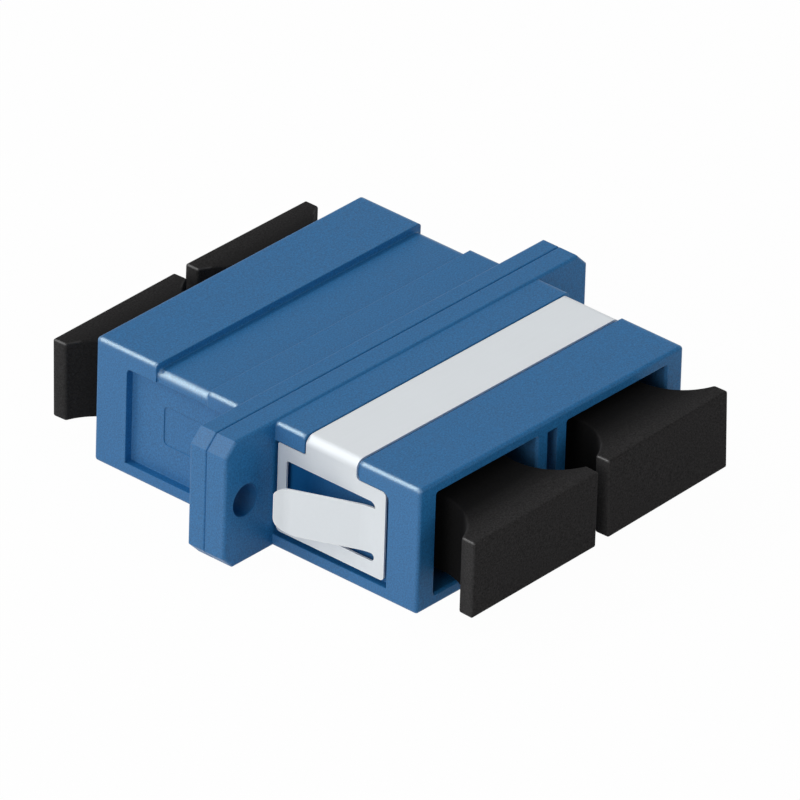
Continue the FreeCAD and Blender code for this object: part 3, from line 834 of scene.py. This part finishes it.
class PlugTree:
    """Geometry Nodes tree that draws one dust plug from its sizes."""

    LENGTHS = (
        "Plate Width",
        "Plate Thickness",
        "Height",
        "Neck Width",
        "Neck Depth",
        "Guide Width",
        "Guide Depth",
        "Shoulder Depth",
        "Nose Width",
        "Total Depth",
        "Hollow Width",
        "Hollow Height",
        "Hollow Depth",
        "Reach",
    )

    def __init__(self):
        self.tree = bpy.data.node_groups.new("dust_plug", "GeometryNodeTree")
        face = self.tree.interface
        for name in self.LENGTHS:
            socket = face.new_socket(name, in_out="INPUT", socket_type="NodeSocketFloat")
            socket.subtype = "DISTANCE"
        face.new_socket("Arc Steps", in_out="INPUT", socket_type="NodeSocketInt")
        face.new_socket("Place", in_out="INPUT", socket_type="NodeSocketVector")
        face.new_socket("Turn", in_out="INPUT", socket_type="NodeSocketVector")
        face.new_socket("Material", in_out="INPUT", socket_type="NodeSocketMaterial")
        face.new_socket("Geometry", in_out="OUTPUT", socket_type="NodeSocketGeometry")
        self.graph = Graph(self.tree)
        self.given = self.graph.node("NodeGroupInput", None, None, self.LENGTHS[0])
        self.draw()

    def named(self, name):
        """One of the tree's named inputs."""
        return self.given.other(name)

    def point(self, x, y, z=0.0):
        """A point from numbers or links."""
        return self.graph.node("ShaderNodeCombineXYZ", None, {"X": x, "Y": y, "Z": z})

    def line(self, start, end):
        """A straight run of the outline."""
        ends = {"Start": start, "End": end}
        return self.graph.node("GeometryNodeCurvePrimitiveLine", None, ends)

    def outline(self):
        """Closed outline of the plug seen from above."""
        graph = self.graph
        half_plate = self.named("Plate Width") * 0.5
        half_neck = self.named("Neck Width") * 0.5
        half_guide = self.named("Guide Width") * 0.5
        half_nose = self.named("Nose Width") * 0.5
        plate = -self.named("Plate Thickness")
        shoulder = -self.named("Shoulder Depth")
        end = -self.named("Total Depth")
        points = [
            self.point(half_plate, 0.0),
            self.point(half_plate, plate),
            self.point(half_guide, -self.named("Guide Depth")),
            self.point(half_guide, shoulder),
            self.point(half_nose, shoulder),
            self.point(half_nose, end),
        ]
        waist = graph.node(
            "GeometryNodeCurveArc",
            {"mode": "POINTS"},
            {
                "Resolution": self.named("Arc Steps"),
                "Start": points[1],
                "Middle": self.point(half_neck, -self.named("Neck Depth")),
                "End": points[2],
            },
        )
        runs = [self.line(points[0], points[1]), waist]
        runs += [self.line(first, second) for first, second in zip(points[2:], points[3:])]
        runs.append(self.line(self.point(0.0, 0.0), points[0]))
        runs.append(self.line(points[5], self.point(0.0, end)))
        half = graph.node("GeometryNodeJoinGeometry", None, {"Geometry": runs})
        mirror = graph.node(
            "GeometryNodeTransform", None, {"Geometry": half, "Scale": (-1.0, 1.0, 1.0)}
        )
        both = graph.node("GeometryNodeJoinGeometry", None, {"Geometry": [half, mirror]})
        wires = graph.node("GeometryNodeCurveToMesh", None, {"Curve": both})
        joined = graph.node(
            "GeometryNodeMergeByDistance", None, {"Geometry": wires, "Distance": WELD}
        )
        return graph.node("GeometryNodeMeshToCurve", None, {"Mesh": joined})

    def solid(self, curve, height):
        """Closed prism that rises from a flat outline."""
        graph = self.graph
        base = graph.node("GeometryNodeFillCurve", {"mode": "NGONS"}, {"Curve": curve})
        lid = graph.node(
            "GeometryNodeExtrudeMesh",
            {"mode": "FACES"},
            {"Mesh": base, "Offset": (0.0, 0.0, 1.0), "Offset Scale": height, "Individual": False},
        )
        under = graph.node("GeometryNodeFlipFaces", None, {"Mesh": base})
        both = graph.node("GeometryNodeJoinGeometry", None, {"Geometry": [lid, under]})
        return graph.node(
            "GeometryNodeMergeByDistance", None, {"Geometry": both, "Distance": WELD}
        )

    def hollow(self):
        """Cutter for the hollow, with round sides, that enters from the nose's end."""
        graph = self.graph
        overcut, nearly_half = 1.0 * MM, 0.4999
        height = self.named("Hollow Height")
        flat = graph.node(
            "GeometryNodeCurvePrimitiveQuadrilateral",
            None,
            {"Width": self.named("Hollow Width"), "Height": height},
        )
        rounded = graph.node(
            "GeometryNodeFilletCurve",
            {"mode": "POLY"},
            {"Curve": flat, "Radius": height * nearly_half, "Count": 10},
        )
        solid = self.solid(rounded, self.named("Hollow Depth") + overcut)
        return graph.node(
            "GeometryNodeTransform",
            None,
            {
                "Geometry": solid,
                "Translation": self.point(0.0, -self.named("Total Depth") - overcut),
                "Rotation": (math.radians(-90.0), 0.0, 0.0),
            },
        )

    def draw(self):
        """The whole plug, cut, placed and given its finish."""
        graph = self.graph
        height = self.named("Height")
        body = self.solid(self.outline(), height)
        body = graph.node(
            "GeometryNodeTransform",
            None,
            {"Geometry": body, "Translation": self.point(0.0, 0.0, height * -0.5)},
        )
        cut = graph.node(
            "GeometryNodeMeshBoolean",
            {"operation": "DIFFERENCE", "solver": "EXACT"},
            {"Mesh 1": body, "Mesh 2": self.hollow()},
        )
        out = graph.node(
            "GeometryNodeTransform",
            None,
            {"Geometry": cut, "Translation": self.point(0.0, self.named("Reach"))},
        )
        placed = graph.node(
            "GeometryNodeTransform",
            None,
            {
                "Geometry": out,
                "Translation": self.named("Place"),
                "Rotation": self.named("Turn"),
            },
        )
        smooth = graph.node("GeometryNodeSetShadeSmooth", None, {"Geometry": placed})
        real = graph.node("GeometryNodeRealizeInstances", None, {"Geometry": smooth})
        dressed = graph.node(
            "GeometryNodeSetMaterial", None, {"Geometry": real, "Material": self.named("Material")}
        )
        graph.node("NodeGroupOutput", None, {"Geometry": dressed})


def set_inputs(modifier, tree, values):
    """Sets a modifier's inputs by their sockets' identifiers."""
    identifiers = {
        item.name: item.identifier
        for item in tree.interface.items_tree
        if item.item_type == "SOCKET" and item.in_out == "INPUT"
    }
    for name, value in values.items():
        modifier[identifiers[name]] = value


def made_plain(piece):
    """Turns a piece's modifiers into its plain mesh."""
    graph = bpy.context.evaluated_depsgraph_get()
    mesh = bpy.data.meshes.new_from_object(
        piece.evaluated_get(graph), preserve_all_data_layers=True, depsgraph=graph
    )
    if not mesh.polygons:
        raise RuntimeError(piece.name + " came out empty")
    piece.modifiers.clear()
    mesh.name = piece.name
    piece.data = mesh


class FIBRE_OT_stage(bpy.types.Operator):
    """Set up the floor, the light and the camera"""

    bl_idname = "fibre.stage"
    bl_label = "Stage"

    def execute(self, context):
        scene = context.scene
        look = scene.adapter_stage
        add_camera(scene, look)
        light_world(scene, look)
        add_floor(scene, look)
        for name, degrees in KEY_PLACES.items():
            x, z = math.cos(math.radians(degrees)), math.sin(math.radians(degrees))
            away, along = (KEY_OUT * x, KEY_BACK, KEY_OUT * z), (-z, 0.0, x)
            lamp = "key_lamp_" + name
            add_lamp(scene, lamp, away, KEY_DISTANCE, KEY_SIZE, look.key_power, along)
        for name, (away, distance, size) in SOFT_LAMPS.items():
            add_lamp(scene, name + "_lamp", away, distance, size, getattr(look, name + "_power"))
        scene.view_settings.view_transform = "Standard"
        return {"FINISHED"}


class FIBRE_OT_housings(bpy.types.Operator):
    """Finish the two moulded housing halves"""

    bl_idname = "fibre.housings"
    bl_label = "Housing Halves"

    def execute(self, context):
        names = ["front_housing", "rear_housing"]
        settings = context.scene.adapter_blue
        # The housings get painted shade in their pockets, screw holes and ports.
        dress(names, moulded_plastic("blue_housing_plastic", settings, painted_shade_mask))
        return {"FINISHED"}


class FIBRE_OT_clip(bpy.types.Operator):
    """Finish the folded steel clip"""

    bl_idname = "fibre.clip"
    bl_label = "Mounting Clip"

    def execute(self, context):
        dress(["mounting_clip"], rolled_steel("bright_spring_steel", context.scene.adapter_steel))
        return {"FINISHED"}


class FIBRE_OT_inserts(bpy.types.Operator):
    """Finish the four latch inserts"""

    bl_idname = "fibre.inserts"
    bl_label = "Latch Inserts"

    def execute(self, context):
        settings = context.scene.adapter_blue
        # The inserts get the same painted shade mask as the housings.
        material = moulded_plastic("blue_insert_plastic", settings, painted_shade_mask)
        dress(nodes_starting("latch_insert_"), material)
        return {"FINISHED"}


class FIBRE_OT_sleeves(bpy.types.Operator):
    """Finish the two split alignment sleeves"""

    bl_idname = "fibre.sleeves"
    bl_label = "Split Sleeves"

    def execute(self, context):
        material = ground_ceramic("sleeve_ceramic", context.scene.adapter_ceramic)
        dress(nodes_starting("split_sleeve_"), material)
        return {"FINISHED"}


class FIBRE_OT_plugs(bpy.types.Operator):
    """Make the four dust plugs in place of their plain solids"""

    bl_idname = "fibre.plugs"
    bl_label = "Dust Plugs"

    def execute(self, context):
        shape = context.scene.adapter_plug
        material = moulded_plastic("black_plug_plastic", context.scene.adapter_black)
        tree = PlugTree().tree
        rise = (shape.plate_width - shape.neck_width) / 2
        run = shape.neck_depth - shape.plate_thickness
        radius = (rise**2 + run**2) / (2 * rise)
        guide_rise = (shape.guide_width - shape.neck_width) / 2
        guide_depth = shape.neck_depth + math.sqrt(radius**2 - (radius - guide_rise) ** 2)
        shoulder = guide_depth + shape.guide_length
        sizes = {
            "Plate Width": shape.plate_width,
            "Plate Thickness": shape.plate_thickness,
            "Height": shape.height,
            "Neck Width": shape.neck_width,
            "Neck Depth": shape.neck_depth,
            "Guide Width": shape.guide_width,
            "Guide Depth": guide_depth,
            "Shoulder Depth": shoulder,
            "Nose Width": shape.nose_width,
            "Total Depth": shoulder + shape.nose_length,
            "Hollow Width": shape.hollow_width,
            "Hollow Height": shape.hollow_height,
            "Hollow Depth": shape.hollow_depth,
            "Arc Steps": shape.arc_steps,
            "Material": material,
        }
        for node in nodes_starting("dust_plug_"):
            place = node.removeprefix("dust_plug_")
            half, side = place.split("_")
            front = half == "front"
            out = -1.0 if front else 1.0
            across = -shape.port_offset if side == "left" else shape.port_offset
            pull = shape.front_pull if front else shape.rear_pull
            reach = shape.seat + shoulder + pull - shape.hang_centre
            turn = Vector(getattr(shape, place + "_tilt"))
            if front:
                turn.z += math.pi
            piece = bpy.data.objects.new("plug_" + place, bpy.data.meshes.new("plug_" + place))
            context.scene.collection.objects.link(piece)
            modifier = piece.modifiers.new("dust_plug", "NODES")
            modifier.node_group = tree
            set_inputs(modifier, tree, sizes)
            centre = (across, out * shape.hang_centre, shape.port_height)
            set_inputs(modifier, tree, {"Reach": reach, "Place": centre, "Turn": list(turn)})
            bevel = piece.modifiers.new("rounded_edges", "BEVEL")
            bevel.width = shape.edge_round
            bevel.segments = 3
            bevel.limit_method = "ANGLE"
            bevel.angle_limit = math.radians(35.0)
            bevel.harden_normals = True
            made_plain(piece)
            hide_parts(node)
            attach(piece, place + "_plug")
        return {"FINISHED"}


class FIBRE_PT_panel(bpy.types.Panel):
    """Lists the adapter's pieces and its stage"""

    bl_idname = "FIBRE_PT_panel"
    bl_label = "Duplex Fibre Adapter"
    bl_space_type = "VIEW_3D"
    bl_region_type = "UI"
    bl_category = "Fibre Adapter"

    def draw(self, context):
        scene = context.scene
        for operator in OPERATORS:
            self.layout.operator(operator.bl_idname)
        for name in SETTINGS:
            group = getattr(scene, name)
            box = self.layout.box()
            box.label(text=group.bl_rna.name)
            for prop in group.bl_rna.properties:
                if prop.identifier not in ("rna_type", "name"):
                    box.prop(group, prop.identifier)


OPERATORS = (
    FIBRE_OT_stage,
    FIBRE_OT_housings,
    FIBRE_OT_clip,
    FIBRE_OT_inserts,
    FIBRE_OT_sleeves,
    FIBRE_OT_plugs,
)
SETTINGS = {
    "adapter_stage": StageLook,
    "adapter_blue": BlueFinish,
    "adapter_black": BlackFinish,
    "adapter_steel": SteelFinish,
    "adapter_ceramic": CeramicFinish,
    "adapter_plug": PlugShape,
}


def register():
    for name, group in SETTINGS.items():
        bpy.utils.register_class(group)
        setattr(bpy.types.Scene, name, PointerProperty(type=group))
    for operator in OPERATORS:
        bpy.utils.register_class(operator)
    bpy.utils.register_class(FIBRE_PT_panel)


def unregister():
    bpy.utils.unregister_class(FIBRE_PT_panel)
    for operator in reversed(OPERATORS):
        bpy.utils.unregister_class(operator)
    for name, group in SETTINGS.items():
        delattr(bpy.types.Scene, name)
        bpy.utils.unregister_class(group)


def main():
    register()
    for operator in OPERATORS:
        group, name = operator.bl_idname.split(".")
        getattr(getattr(bpy.ops, group), name)()


if __name__ == "__main__":
    main()
